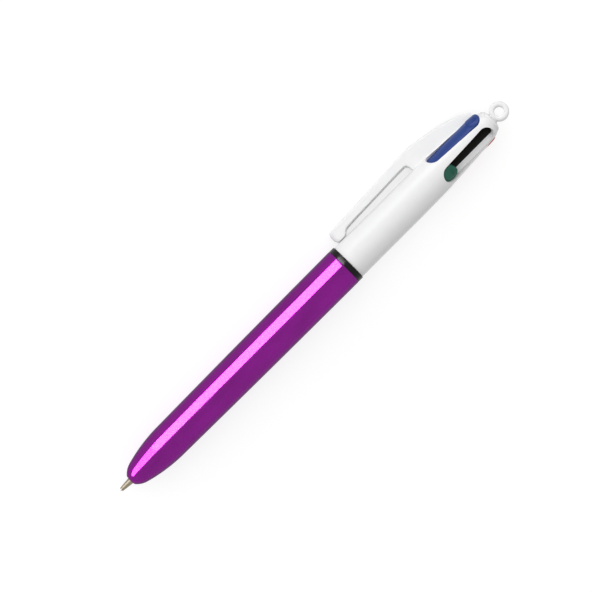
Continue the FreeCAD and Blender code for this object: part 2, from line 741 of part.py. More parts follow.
def make_refill_tube(index, colour):
    body = refill_body("refill_tube", index, colour)
    turned(body, "Tube", rectangle(
        along_refill(D["point_length"]), D["tube_bore_radius"],
        SHOULDER_FACE - D["tube_end_gap"], D["tube_radius"]))
    return body


def make_writing_point(index, colour):
    """Metal point: a socket for the ball, a cone, a straight neck and a plug in the tube."""
    body = refill_body("writing_point", index, colour)
    socket = D["ball_radius"] + D["socket_play"]
    socket_floor = along_refill(D["ball_radius"] * 2 + D["socket_play"])
    plug = D["tube_bore_radius"] - D["socket_play"]
    turned(body, "Point", [
        (along_refill(D["lip_setback"]), socket),
        (along_refill(D["cone_length"]), D["tube_radius"]),
        (along_refill(D["point_length"]), D["tube_radius"]),
        (along_refill(D["point_length"]), plug),
        (along_refill(D["point_length"] + D["point_plug"]), plug),
        (along_refill(D["point_length"] + D["point_plug"]), 0),
        (socket_floor, 0),
        (socket_floor, socket),
    ])
    return body


def make_writing_ball(index, colour):
    """Ball that turns freely in its socket: flat-sided rings between two poles."""
    radius = float(D["ball_radius"])
    middle = Vector(float(along_refill(D["ball_radius"])), 0, float(D["refill_pitch"]))
    rings = [Part.Vertex(middle - Vector(radius, 0, 0))]
    for ring in range(1, BALL_RINGS):
        angle = math.pi * ring / BALL_RINGS
        corners = []
        for side in range(BALL_SIDES + 1):
            turn = 2 * math.pi * side / BALL_SIDES
            spoke = Vector(0, math.cos(turn), math.sin(turn)) * (radius * math.sin(angle))
            corners.append(middle + spoke - Vector(radius * math.cos(angle), 0, 0))
        rings.append(Part.makePolygon(corners))
    rings.append(Part.Vertex(middle + Vector(radius, 0, 0)))
    ball = doc.addObject("Part::Feature", f"writing_ball_{colour}")
    ball.Label = f"writing_ball_{colour}"
    ball.Shape = Part.makeLoft(rings, True, True)
    ball.Placement = refill_placement(index, colour)
    return ball


def make_spring(index, colour):
    """Return spring: one square wire wound along the refill, from the plate to the slider."""
    travel = float(STROKE) if colour == WRITING_COLOUR else 0.0
    tilt = math.radians(WRITING_TILT if colour == WRITING_COLOUR else PARKED_TILT)
    seat = float(SHOULDER_FACE) - travel - float(SPRING_GAP)
    floor = float(GUIDE_REAR) + float(SPRING_GAP)
    # The leaning turns stay clear of both seats.
    lean = float(D["spring_mean_radius"] + D["spring_wire"] / 2) * math.sin(tilt)
    pivot = Vector(float(SHOULDER_FACE) - travel, 0, float(D["refill_pitch"]))
    axis = Vector(-math.cos(tilt), 0, -math.sin(tilt))
    across = Vector(0, 1, 0)
    upward = axis.cross(across)
    start = pivot + axis * (pivot.x - seat + lean)
    length = (seat - floor - 2 * lean) / math.cos(tilt)
    turns = float(D["spring_turns"])
    pitch = length / turns
    radius = float(D["spring_mean_radius"])
    half_wire = float(D["spring_wire"]) / 2
    sections = []
    for step in range(round(turns * STEPS_PER_TURN) + 1):
        angle = 2 * math.pi * step / STEPS_PER_TURN
        outward = across * math.cos(angle) + upward * math.sin(angle)
        forward = across * -math.sin(angle) + upward * math.cos(angle)
        climb = axis * (pitch * step / STEPS_PER_TURN)
        centre = start + climb + outward * radius
        corners = []
        for side in range(WIRE_SIDES):
            turn = 2 * math.pi * side / WIRE_SIDES
            binormal = (forward * radius + axis * (pitch / (2 * math.pi))).normalize()
            sideways = binormal.cross(outward)
            corners.append(centre + (outward * math.cos(turn) + sideways * math.sin(turn)) * half_wire)
        sections.append(Part.makePolygon(corners + corners[:1]))
    coil = doc.addObject("Part::Feature", f"spring_{colour}")
    coil.Label = f"spring_{colour}"
    coil.Shape = Part.makeLoft(sections, True, True)
    coil.Placement = PEN * slot_turn(index)
    print(f"spring_{colour}: least gap between turns {pitch - 2 * half_wire:.3f} mm")
    return coil


def make_all():
    pieces = [
        make_front_barrel(),
        make_joint_ring(),
        make_spring_guide(),
        make_upper_body(),
        make_slider_core(),
        make_end_cap(),
        make_pocket_clip(),
    ]
    for index, colour in enumerate(COLOURS):
        pieces.append(make_slider(index, colour))
        pieces.append(make_refill_tube(index, colour))
        pieces.append(make_writing_point(index, colour))
        pieces.append(make_writing_ball(index, colour))
        pieces.append(make_spring(index, colour))
    return pieces


def check_and_write(pieces):
    """Stop on any failed object or bad solid, and only then write the pieces."""
    doc.recompute()
    for item in doc.Objects:
        if "Invalid" in item.State or "Error" in item.State:
            raise RuntimeError(f"{item.Label} failed: {item.State}")
    for piece in pieces:
        shape = piece.Shape
        if shape.isNull() or not shape.isValid() or shape.Volume <= 0:
            raise RuntimeError(f"{piece.Label} has no sound solid")
    os.makedirs("parts", exist_ok=True)
    for piece in pieces:
        piece.Shape.exportStep(f"parts/{piece.Label}.step")
        print(f"{piece.Label}: {len(piece.Shape.Solids)} solid, {piece.Shape.Volume:.2f} mm3")


check_and_write(make_all())
print(f"stroke {float(STROKE):.3f} mm, tilts {PARKED_TILT:.4f} and {WRITING_TILT:.4f} degrees")
print(f"clip {CLIP_ANGLE:.3f} degrees, pen frame at {PEN.Base}")
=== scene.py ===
import json
import math

import bmesh
import bpy
from bpy.props import FloatProperty, FloatVectorProperty, IntProperty, PointerProperty
from mathutils import Matrix, Vector


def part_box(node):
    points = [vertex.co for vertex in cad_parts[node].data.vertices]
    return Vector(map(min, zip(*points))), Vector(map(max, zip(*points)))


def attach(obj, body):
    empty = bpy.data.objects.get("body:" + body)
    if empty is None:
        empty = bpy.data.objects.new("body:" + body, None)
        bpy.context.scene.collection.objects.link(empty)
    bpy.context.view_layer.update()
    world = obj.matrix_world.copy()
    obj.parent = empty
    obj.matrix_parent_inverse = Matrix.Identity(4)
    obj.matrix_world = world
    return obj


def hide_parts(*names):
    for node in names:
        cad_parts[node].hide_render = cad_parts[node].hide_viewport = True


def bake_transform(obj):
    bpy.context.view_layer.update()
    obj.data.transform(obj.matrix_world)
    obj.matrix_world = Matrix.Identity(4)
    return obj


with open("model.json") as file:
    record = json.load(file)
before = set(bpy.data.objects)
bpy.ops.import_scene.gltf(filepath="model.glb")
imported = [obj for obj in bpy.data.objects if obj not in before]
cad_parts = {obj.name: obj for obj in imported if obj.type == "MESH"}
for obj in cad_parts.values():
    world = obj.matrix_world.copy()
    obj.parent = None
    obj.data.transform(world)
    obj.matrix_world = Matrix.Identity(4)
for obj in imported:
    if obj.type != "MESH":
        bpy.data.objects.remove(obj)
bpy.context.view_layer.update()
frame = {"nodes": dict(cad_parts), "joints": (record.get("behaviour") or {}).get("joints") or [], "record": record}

bl_info = {
    "name": "Multicolour Click Pen",
    "version": (1, 0, 0),
    "blender": (4, 5, 0),
    "location": "3D View > Sidebar > Pen",
    "description": "Builds the looks of a four-colour click pen round its packed model",
    "category": "Add Mesh",
}

# Lengths inside the shape code are millimetres in the pen's own frame: X runs along the pen from
# the nose end to the lanyard ring, and +Z points at the pocket clip.

MILLIMETRE = 0.001
COLOURS = ["blue", "green", "red", "black"]
CLIP_TO_FIRST_SLOT = 45
SLOT_STEP = 90
NOSE_BEND = (2.95, 3.446)  # where the nose's tight curve runs into its long one
SHOULDER = 15.06  # where the long curve runs into the slow taper of the barrel
FIN_REAR = 134.5


def named(items, name):
    return next(item for item in items if item["name"] == name)


def pen_frame():
    """Matrix from the pen's own millimetres to the frame's metres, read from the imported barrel."""
    low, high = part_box("front_barrel")
    middle = (low + high) / 2
    across = Vector(named(frame["record"]["mounts"], "lanyard_ring")["axis"])
    roll = math.atan2(across.z, across.y)
    return (Matrix.Translation((low.x, middle.y, middle.z)) @ Matrix.Rotation(roll, 4, "X")
            @ Matrix.Scale(MILLIMETRE, 4))


PEN = pen_frame()
NOSE_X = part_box("front_barrel")[0].x


def ends_of(node):
    """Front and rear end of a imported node, in millimetres behind the nose end."""
    return [(corner.x - NOSE_X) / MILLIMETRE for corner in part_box(node)]


BARREL_REAR = ends_of("front_barrel")[1]
BAND_FRONT, BAND_REAR = ends_of("joint_ring")
BODY_FRONT, BODY_REAR = ends_of("upper_body")
GUIDE_REAR = ends_of("spring_guide")[1]
CAP_FRONT, LOOP_REAR = ends_of("end_cap")


def length_of(label, meaning, millimetres):
    return FloatProperty(name=label, description=meaning, default=millimetres * MILLIMETRE,
                         min=0.0, precision=5, unit="LENGTH")


def colour_of(label, meaning, red, green, blue):
    return FloatVectorProperty(name=label, description=meaning, default=(red, green, blue),
                               size=3, min=0.0, max=1.0, subtype="COLOR")


class PEN_PG_sizes(bpy.types.PropertyGroup):
    """Sizes that a user of the pen may want to change."""

    nose_face: length_of("Nose face", "Outside radius of the flat at the nose end", 1.52)
    nose_hole: length_of("Nose hole", "Radius of the hole for the writing point", 1.2)
    barrel_radius: length_of("Barrel radius", "Outside radius of the barrel at the band", 5.68)
    barrel_bore: length_of("Barrel bore", "Inside radius of the barrel", 4.22)
    band_bore: length_of("Band bore", "Inside radius of the black band's spigots", 4.1)
    body_radius: length_of("Body radius", "Outside radius of the upper body at the band", 5.4)
    slot_front: length_of("Slot front", "Nose end to the slots' front end", 116.4)
    slot_rear: length_of("Slot rear", "Nose end to the slots' rear end", 135.0)
    slot_width: length_of("Slot width", "Opening of a slot across", 4.86)
    clip_width: length_of("Clip width", "Pocket clip across", 3.4)
    clip_tip: length_of("Clip tip", "Nose end to the clip's free end", 84.1)
    clip_root: length_of("Clip root", "Nose end to the clip's root", 112.6)
    loop_radius: length_of("Ring radius", "Outside radius of the lanyard ring", 2.7)
    loop_hole: length_of("Ring hole", "Radius of the lanyard ring's hole", 1.3)
    loop_width: length_of("Ring width", "Lanyard ring across", 2.2)
    slider_width: length_of("Slider width", "Coloured slider across", 4.5)
    strip_radius: length_of("Strip radius", "Outside of a slider's strip", 4.45)
    thumb_radius: length_of("Thumb radius", "Outside of a slider's thumb piece", 4.98)
    thumb_length: length_of("Thumb length", "Thumb piece along the pen", 4.5)
    thumb_fall: length_of("Thumb fall", "How much lower the thumb piece is at its rear end", 0.65)
    rib_pitch: length_of("Rib pitch", "Grip ribs, one to the next", 0.56)
    ball_radius: length_of("Ball radius", "Writing ball", 0.5)
    spring_radius: length_of("Spring radius", "Axis of the wire from the spring's axis", 1.45)
    spring_wire: length_of("Spring wire", "Thickness of the spring wire", 0.33)
    spring_turns: IntProperty(name="Spring turns", description="Turns of a return spring",
                              default=9, min=3, max=30)
    rib_count: IntProperty(name="Grip ribs", description="Ribs on a thumb piece",
                           default=5, min=1, max=9)


class PEN_PG_colours(bpy.types.PropertyGroup):
    """Colours of the pen's pieces."""

    barrel: colour_of("Barrel", "Metallised barrel", 0.19, 0.003, 0.20)
    white: colour_of("White", "Upper body, clip and end cap", 0.86, 0.86, 0.865)
    band: colour_of("Band", "Thin band between the halves", 0.006, 0.006, 0.007)
    inner: colour_of("Inner parts", "Core and spring plate", 0.006, 0.006, 0.005)
    blue: colour_of("Blue slider", "Blue slider", 0.012, 0.042, 0.215)
    green: colour_of("Green slider", "Green slider", 0.012, 0.11, 0.07)
    red: colour_of("Red slider", "Red slider", 0.52, 0.015, 0.02)
    black: colour_of("Black slider", "Black slider", 0.012, 0.012, 0.014)
    tube: colour_of("Refill tube", "Natural refill tube", 0.72, 0.72, 0.68)
    point: colour_of("Writing point", "Nickel silver of the points", 0.27, 0.235, 0.175)
    steel: colour_of("Steel", "Springs and balls", 0.62, 0.62, 0.64)


def sized(*names):
    """Lengths from the panel, in millimetres."""
    lengths = [getattr(bpy.context.scene.pen_sizes, name) / MILLIMETRE for name in names]
    return lengths if len(lengths) > 1 else lengths[0]


# Shape helpers

def arc_run(start, end, radius, steps):
    """Points from start to just before end on the arc that bulges to the left of the way back."""
    start, end = Vector(start), Vector(end)
    chord = end - start
    height = math.sqrt(radius ** 2 - (chord.length / 2) ** 2)
    side = Vector((chord.y, -chord.x)).normalized()
    centre = (start + end) / 2 + side * height
    first = math.atan2(start.y - centre.y, start.x - centre.x)
    last = math.atan2(end.y - centre.y, end.x - centre.x)
    angles = [first + (last - first) * step / steps for step in range(steps)]
    return [(centre.x + radius * math.cos(angle), centre.y + radius * math.sin(angle))
            for angle in angles]


def eased(knots, place):
    """Height of a smooth line through (place, height) knots, without overshoot."""
    if place <= knots[0][0]:
        return knots[0][1]
    if place >= knots[-1][0]:
        return knots[-1][1]
    slopes = [(b[1] - a[1]) / (b[0] - a[0]) for a, b in zip(knots, knots[1:])]
    tangents = [slopes[0]]
    for before, after in zip(slopes, slopes[1:]):
        same_way = before * after > 0
        tangents.append(2 * before * after / (before + after) if same_way else 0.0)
    tangents.append(slopes[-1])
    index = max(i for i in range(len(slopes)) if place >= knots[i][0])
    (x0, y0), (x1, y1) = knots[index], knots[index + 1]
    width = x1 - x0
    t = (place - x0) / width
    rise = (2 * t ** 3 - 3 * t ** 2 + 1) * y0 + (3 * t ** 2 - 2 * t ** 3) * y1
    lean = (t ** 3 - 2 * t ** 2 + t) * tangents[index] + (t ** 3 - t ** 2) * tangents[index + 1]
    return rise + lean * width


def softened(corners, steps=5):
    """Closed outline whose (x, y, radius) corners are rounded off."""
    points = []
    count = len(corners)
    for index, (x, y, radius) in enumerate(corners):
        corner = Vector((x, y))
        back = Vector(corners[index - 1][:2]) - corner
        ahead = Vector(corners[(index + 1) % count][:2]) - corner
        if radius == 0:
            points.append((x, y))
            continue
        cut = min(radius, back.length * 0.45, ahead.length * 0.45)
        start = corner + back.normalized() * cut
        end = corner + ahead.normalized() * cut
        for step in range(steps + 1):
            t = step / steps
            spot = start * (1 - t) ** 2 + corner * 2 * t * (1 - t) + end * t ** 2
            points.append((spot.x, spot.y))
    return points


def oval(along, half_width, half_height, points, height=0.0):
    """Upright oval of points round a line at that height over the pen's axis."""
    turns = [2 * math.pi * point / points for point in range(points)]
    return [(along, half_width * math.cos(turn), height + half_height * math.sin(turn))
            for turn in turns]


def skin_rings(shape, rings):
    """Faces between each ring of vertices and the next; at a pole they are triangles."""
    for low, high in zip(rings, rings[1:]):
        for index in range(len(low)):
            after = (index + 1) % len(low)
            corners = dict.fromkeys((low[index], high[index], high[after], low[after]))
            if len(corners) > 2:
                shape.faces.new(list(corners))


def turned(outline, sides):
    """Turn a closed outline of (along, radius) about the pen axis."""
    shape = bmesh.new()
    rings = [[shape.verts.new((along, 0, 0))] * sides if radius < 1e-6
             else [shape.verts.new(point) for point in oval(along, radius, radius, sides)]
             for along, radius in outline]
    skin_rings(shape, rings + rings[:1])
    return shape


def skin_rows(shape, rows, columns):
    """Faces between each row of vertices and the next, at those columns."""
    for low, high in zip(rows, rows[1:]):
        for at in columns:
            shape.faces.new((low[at], high[at], high[at + 1], low[at + 1]))


def lofted(loops):
    """Closed skin over loops of as many points each."""
    shape = bmesh.new()
    rings = [[shape.verts.new(point) for point in loop] for loop in loops]
    skin_rings(shape, rings)
    for ring in (rings[0], rings[-1]):
        shape.faces.new(ring)
    return shape


def absorb(shape, part):
    """Add the part's faces to the shape and let the part go."""
    mesh = bpy.data.meshes.new("part")
    part.to_mesh(mesh)
    part.free()
    shape.from_mesh(mesh)
    bpy.data.meshes.remove(mesh)


def slot_frame(colour):
    """Pen frame turned so that +Z points at that colour's slot."""
    turn = CLIP_TO_FIRST_SLOT + SLOT_STEP * COLOURS.index(colour)
    return PEN @ Matrix.Rotation(math.radians(turn), 4, "X")


def refill_frame(colour):
    """Frame along one refill from its pivot, and the pivot's place in that colour's slot frame."""
    seat = slot_frame(colour)
    pivot = seat.inverted() @ Vector(named(frame["joints"], f"lean_{colour}")["pos_m"])
    low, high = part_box(f"writing_ball_{colour}")
    ball = seat.inverted() @ ((low + high) / 2)
    lean = math.atan2(pivot.z - ball.z, pivot.x - ball.x)
    return seat @ Matrix.Translation(pivot) @ Matrix.Rotation(-lean, 4, "Y"), pivot


def linked(name, mesh):
    """Object with that mesh, in the scene."""
    piece = bpy.data.objects.new(name, mesh)
    bpy.context.scene.collection.objects.link(piece)
    return piece


def finished(name, shape, place, slot, sharp=35.0):
    """Turn the shape into an object of the frame in its slot's finish, with sharp real edges."""
    bmesh.ops.remove_doubles(shape, verts=shape.verts, dist=1e-5)
    bmesh.ops.transform(shape, matrix=place, verts=shape.verts)
    bmesh.ops.recalc_face_normals(shape, faces=shape.faces)
    mesh = bpy.data.meshes.new(name)
    shape.to_mesh(mesh)
    shape.free()
    mesh.polygons.foreach_set("use_smooth", [True] * len(mesh.polygons))
    mesh.set_sharp_from_angle(angle=math.radians(sharp))
    mesh.materials.append(finish_named(slot))
    piece = linked(name, mesh)
    return piece


def dressed(piece, body, *nodes):
    """Tell the frame which body a piece rides on, and which solids it stands for."""
    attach(piece, body)
    if nodes:
        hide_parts(*nodes)
    return piece


def blended(piece, node):
    """Hide the solid that the piece stands for, and bake the piece's place into its mesh."""
    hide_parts(node)
    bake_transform(piece)


def repaint(node, slot):
    """Give a carried-over solid the finish of its slot."""
    materials = frame["nodes"][node].data.materials
    materials.clear()
    materials.append(finish_named(slot))


def shone_on(piece, group):
    """Let the narrow panels that were hung for this group shine on the piece."""
    takers = bpy.data.collections.get(group)
    if takers:
        takers.objects.link(piece)


# Node helpers

def add_node(tree, kind, inputs=None, **settings):
    """Add a node, a shader's unless its kind says more; inputs are set, or linked to a socket."""
    node = tree.nodes.new(kind if "Node" in kind else f"ShaderNode{kind}")
    for name, value in settings.items():
        setattr(node, name, value)
    for name, value in (inputs or {}).items():
        if isinstance(value, bpy.types.NodeSocket):
            tree.links.new(value, node.inputs[name])
        else:
            node.inputs[name].default_value = value
    return node


def flow(tree, kind, inputs=None, **settings):
    """Add a node and give its first output."""
    return add_node(tree, kind, inputs, **settings).outputs[0]


def maths(tree, operation, first, second):
    return flow(tree, "Math", {0: first, 1: second}, operation=operation)


# Materials

class Finish:
    """A node material whose patterns run in the pen's own frame, in millimetres."""

    def __init__(self, name, colour, roughness, **values):
        self.colour = tuple(getattr(bpy.context.scene.pen_colours, colour))
        self.material = bpy.data.materials.new(name)
        self.material.use_nodes = True
        self.material.diffuse_color = self.colour_times(1)
        self.tree = self.material.node_tree
        self.shader = self.tree.nodes["Principled BSDF"]
        values.update(Base_Color=self.colour_times(1), Roughness=roughness)
        for label, value in values.items():
            self.shader.inputs[label.replace("_", " ")].default_value = value
        undo = PEN.inverted()
        self.place = flow(self.tree, "Mapping", {
            "Vector": add_node(self.tree, "TexCoord").outputs["Object"],
            "Location": undo.translation, "Rotation": undo.to_euler(), "Scale": undo.to_scale()})

    def feed(self, label, socket):
        self.tree.links.new(socket, self.shader.inputs[label])
        return self

    def noise(self, scale, detail, stretch=(1, 1, 1)):
        """Soft noise with that many bumps to the millimetre."""
        stretched = flow(self.tree, "Mapping", {"Scale": stretch, "Vector": self.place})
        inputs = {"Scale": scale, "Detail": detail, "Vector": stretched}
        return add_node(self.tree, "TexNoise", inputs).outputs["Fac"]

    def spread(self, pattern, low, high):
        """Map a pattern to a range of values."""
        return flow(self.tree, "MapRange", {
            "From Min": 0.25, "From Max": 0.75, "To Min": low, "To Max": high, "Value": pattern})

    def gloss(self, low, high, *noise):
        """Let the roughness follow a noise."""
        return self.feed("Roughness", self.spread(self.noise(*noise), low, high))

    def colour_times(self, factor):
        return (*(min(channel * factor, 1.0) for channel in self.colour), 1)

    def tint(self, darker, lighter, *noise):
        """Let the colour vary a little between two tints of it."""
        mix = add_node(self.tree, "Mix", {
            6: self.colour_times(darker), 7: self.colour_times(lighter),
            "Factor": self.spread(self.noise(*noise), 0, 1)}, data_type="RGBA")
        return self.feed("Base Color", mix.outputs[2])

    def bump(self, depth, height):
        """Raise the surface by a pattern of that depth, in millimetres."""
        inputs = {"Distance": depth * MILLIMETRE, "Height": height, "Strength": 1.0}
        for link in self.shader.inputs["Normal"].links:
            inputs["Normal"] = link.from_socket
        return self.feed("Normal", flow(self.tree, "Bump", inputs))

    def skin(self, depth, *noise):
        return self.bump(depth, self.noise(*noise))

    def rings(self, depth, scale):
        """Fine rings round the pen axis, as a lathe leaves them."""
        inputs = {"Scale": scale, "Distortion": 0.6, "Vector": self.place}
        wave = add_node(self.tree, "TexWave", inputs, bands_direction="X")
        return self.bump(depth, wave.outputs["Fac"])


def metallised_purple():
    finish = Finish("metallised_purple", "barrel", 0.1, Metallic=1.0, Coat_Weight=0.3,
                    Coat_Roughness=0.03, Coat_IOR=1.5, Specular_Tint=(0.30, 0.06, 0.32, 1))
    finish.gloss(0.07, 0.14, 0.35, 3, (0.25, 1, 1)).tint(0.88, 1.12, 0.22, 2, (0.4, 1, 1))
    return finish.skin(0.006, 0.5, 2, (0.3, 1, 1)).skin(0.0006, 14, 1)


def moulded_white():
    finish = Finish("moulded_white", "white", 0.2, Specular_IOR_Level=0.3)
    finish.gloss(0.13, 0.19, 1.1, 4).tint(0.985, 1.015, 0.4, 3)
    return finish.skin(0.008, 0.45, 2, (0.35, 1, 1)).skin(0.0008, 9, 2)


def glossy_plastic(name, colour, low=0.26, high=0.36, shine=0.25):
    """Moulded colour plastic: slightly wavy, with a fine skin."""
    finish = Finish(name, colour, low, Specular_IOR_Level=shine)
    finish.gloss(low, high, 1.6, 4).tint(0.94, 1.06, 0.8, 3)
    return finish.skin(0.006, 0.9, 2).skin(0.0012, 11, 2)


def inner_dark():
    """Dark matt plastic of the parts inside."""
    finish = Finish("inner_dark", "inner", 0.6, Specular_IOR_Level=0.15)
    return finish.gloss(0.55, 0.7, 1.4, 4).tint(0.8, 1.3, 0.9, 3).skin(0.004, 5, 3)


def turned_metal(name, colour, low, high, ring_depth):
    """Turned metal with fine rings round its axis."""
    finish = Finish(name, colour, low, Metallic=1.0)
    finish.gloss(low, high, 3, 4, (1, 0.4, 0.4)).tint(0.86, 1.1, 1.3, 3)
    return finish.rings(ring_depth, 3.5)


def natural_tube():
    finish = Finish("natural_tube", "tube", 0.3, Subsurface_Weight=0.25,
                    Subsurface_Radius=(0.001, 0.001, 0.001), IOR=1.5)
    finish.gloss(0.26, 0.4, 1.2, 3, (0.2, 1, 1)).tint(0.9, 1.05, 0.5, 3, (0.2, 1, 1))
    return finish.skin(0.003, 2, 3, (0.1, 1, 1))


def slot_of_slider(colour):
    return "slider_black" if colour == "black" else f"{colour}_gloss"


MAKERS_OF_FINISHES = {
    "barrel_purple": (metallised_purple,),
    "white_gloss": (moulded_white,),
    "black_gloss": (glossy_plastic, "band_black", "band", 0.16, 0.24, 0.13),
    "inner_plastic": (inner_dark,),
    "tube_plastic": (natural_tube,),
    "point_metal": (turned_metal, "nickel_silver", "point", 0.3, 0.42, 0.002),
    "ball_metal": (turned_metal, "ball_steel", "steel", 0.08, 0.16, 0.0003),
    "spring_steel": (turned_metal, "spring_wire", "steel", 0.2, 0.34, 0.001),
    **{slot_of_slider(colour): (glossy_plastic, f"slider_{colour}_plastic", colour)
       for colour in COLOURS},
}
MADE = {}


def finish_named(slot):
    """Each slot's finish is made once and shared by the pieces that have it."""
    if slot not in MADE:
        maker, *values = MAKERS_OF_FINISHES[slot]
        MADE[slot] = maker(*values).material
    return MADE[slot]


# Outside forms of the pen, as radii in millimetres at places along it

def barrel_radius(along):
    return eased([(SHOULDER, 5.168), (30, 5.335), (48, 5.5), (66, 5.615),
                  (BARREL_REAR, sized("barrel_radius"))], along)


def body_radius(along):
    front, slot_front = sized("body_radius", "slot_front")
    return eased([(BODY_FRONT, front), (108, front), (112.5, front - 0.05), (slot_front, 5.24),
                  (122, 4.9), (128, 4.55), (132, 4.27), (134.5, 4.03), (135.4, 3.84),
                  (BODY_REAR, 3.4)], along)


def clip_top(along):
    return eased([(84.1, 9.0), (90, 9.33), (96, 9.61), (102, 9.9), (108, 10.2), (111, 10.42),
                  (114, 10.52), (117, 10.42), (120, 10.0), (123, 9.42), (126, 8.78), (129, 7.9),
                  (132, 6.75), (FIN_REAR, 5.3)], along)


class PEN_OT_stage(bpy.types.Operator):
    """Lay the white ground, hang the lights and set up the camera"""

    bl_idname = "pen.stage"
    bl_label = "Stage"

    def execute(self, context):
        self.ground()
        self.world(context)
        self.lights()
        self.camera(context)
        return {"FINISHED"}

    def bright_for_the_eye(self, tree, dark, bright):
        """Strength that is bright for the camera, mirrors and glass, and dark for soft light."""
        ray = add_node(tree, "LightPath").outputs
        seen = maths(tree, "MAXIMUM", ray["Is Camera Ray"], ray["Is Glossy Ray"])
        seen = maths(tree, "MAXIMUM", seen, ray["Is Transmission Ray"])
        return flow(tree, "MapRange", {"To Min": dark, "To Max": bright, "Value": seen})

    def ground(self):
        shape = bmesh.new()
        bmesh.ops.create_grid(shape, x_segments=8, y_segments=8, size=2.0)
        mesh = bpy.data.meshes.new("ground")
        shape.to_mesh(mesh)
        shape.free()
        ground = linked("ground", mesh)
        material = bpy.data.materials.new("white_ground")
        material.use_nodes = True
        tree = material.node_tree
        tree.nodes.clear()
        matte = flow(tree, "BsdfDiffuse", {"Color": (0.36, 0.36, 0.36, 1)})
        glow = flow(tree, "Emission", {"Strength": self.bright_for_the_eye(tree, 0.0, 0.735)})
        both = flow(tree, "AddShader", {0: matte, 1: glow})
        add_node(tree, "OutputMaterial", {"Surface": both})
        mesh.materials.append(material)

    def world(self, context):
        """A white room whose soft light is stronger on the clip's side."""
        world = bpy.data.worlds.new("soft_white_room")
        context.scene.world = world
        world.use_nodes = True
        tree = world.node_tree
        place = add_node(tree, "TexCoord").outputs["Generated"]
        parts = add_node(tree, "SeparateXYZ", {"Vector": place}).outputs
        side = flow(tree, "MapRange", {
            "From Min": -0.9, "From Max": 0.7, "To Min": 0.46, "To Max": 1.0,
            "Value": parts["Y"]}, interpolation_type="SMOOTHSTEP")
        room = tree.nodes["Background"].inputs
        room["Color"].default_value = (1, 1, 1, 1)
        tree.links.new(self.bright_for_the_eye(tree, side, 1.0), room["Strength"])

    def panel_light(self, name, elevation, distance, ends, height, radiance):
        """A soft panel on the clip's side, facing the pen between two places along X."""
        angle = math.radians(elevation)
        lamp = bpy.data.lights.new(name, "AREA")
        lamp.shape = "RECTANGLE"
        lamp.size = ends[1] - ends[0]
        lamp.size_y = height
        lamp.energy = radiance * math.pi * (ends[1] - ends[0]) * height
        away = Vector((0, math.cos(angle), math.sin(angle)))
        middle = away * distance + Vector(((ends[0] + ends[1]) / 2, 0, 0))
        panel = linked(name, lamp)
        panel.matrix_world = (Matrix.Translation(middle)
                              @ away.to_track_quat("Z", "Y").to_matrix().to_4x4())
        return panel

    def lights(self):
        """Narrow panels draw the stripe and the points' glint, and wide ones light the pen."""
        for name, group, ends, radiance in (
                ("barrel_stripe", "barrel_and_band", (-0.24, 0.0275), 20.0),
                ("nose_stripe", "barrel_and_band", (-1.6, -0.24), 12.0),
                ("point_glint", "points", (-1.6, -0.1), 2.8)):
            panel = self.panel_light(name, 39.5, 0.6, ends, 0.53, radiance)
            panel.visible_diffuse = False
            takers = bpy.data.collections.get(group) or bpy.data.collections.new(group)
            panel.light_linking.receiver_collection = takers
        sheen = self.panel_light("body_sheen", 26.0, 0.6, (0.029, 1.2), 0.40, 2.2)
        sheen.visible_diffuse = False
        key = self.panel_light("soft_key", 38.0, 1.4, (-1.0, 1.0), 1.6, 0.27)
        side = self.panel_light("low_side", 14.0, 1.2, (-1.1, 1.1), 0.5, 1.05)
        key.visible_glossy = side.visible_glossy = False

    def camera(self, context):
        """Look from above, 100 degrees round from the clip, with the pen slanting up."""
        clip_up = PEN.to_3x3() @ Vector((0, 0, 1))
        back_angle = math.atan2(clip_up.z, clip_up.y) + math.radians(100.0)
        lean = math.radians(45.03)
        view_width = 0.1591
        back = Vector((0, math.cos(back_angle), math.sin(back_angle)))
        along = Vector((1, 0, 0))
        beside = back.cross(along)
        right = along * math.cos(lean) - beside * math.sin(lean)
        up = along * math.sin(lean) + beside * math.cos(lean)
        aim = PEN @ Vector((66.4, 0, 0)) + beside * 0.00357
        lens = bpy.data.cameras.new("photo_camera")
        lens.lens = 135.0
        lens.clip_start = 0.01
        eye = linked("photo_camera", lens)
        distance = view_width * lens.lens / lens.sensor_width
        turn = Matrix((right, up, back)).transposed().to_4x4()
        eye.matrix_world = Matrix.Translation(aim + back * distance) @ turn
        context.scene.camera = eye
        context.scene.view_settings.view_transform = "Standard"


class PEN_OT_front_barrel(bpy.types.Operator):
    """Turn the metallised barrel with its ogive nose and its bore"""

    bl_idname = "pen.front_barrel"
    bl_label = "Front barrel"

    def execute(self, context):
        hole, face, bore, rear = sized("nose_hole", "nose_face", "barrel_bore", "barrel_radius")
        outline = [(0.0, hole + 0.06), (0.0, face - 0.1), (0.05, face + 0.02)]
        outline += arc_run((0.16, face + 0.18), NOSE_BEND, 5.87, 14)
        outline += arc_run(NOSE_BEND, (SHOULDER, barrel_radius(SHOULDER)), 46.2, 22)
        rows = 34
        for row in range(rows):
            along = SHOULDER + (BARREL_REAR - 0.5 - SHOULDER) * row / (rows - 1)
            outline.append((along, barrel_radius(along)))
        # Close rows keep the rear edge's rounding from tilting the long faces' normals.
        for before, drop in (
                (0.38, 0), (0.28, 0), (0.2, 0.004), (0.12, 0.02), (0.03, 0.07), (0, 0.16)):
            outline.append((BARREL_REAR - before, rear - drop))
        socket, step = rear - 0.85, BARREL_REAR - 7.9
        outline += [(BARREL_REAR, socket), (step, socket), (step, bore), (10.0, bore), (0.5, hole),
                    (0.06, hole)]
        piece = finished("barrel_shell", turned(outline, 128), PEN, "barrel_purple")
        shone_on(dressed(piece, "barrel", "front_barrel"), "barrel_and_band")
        return {"FINISHED"}


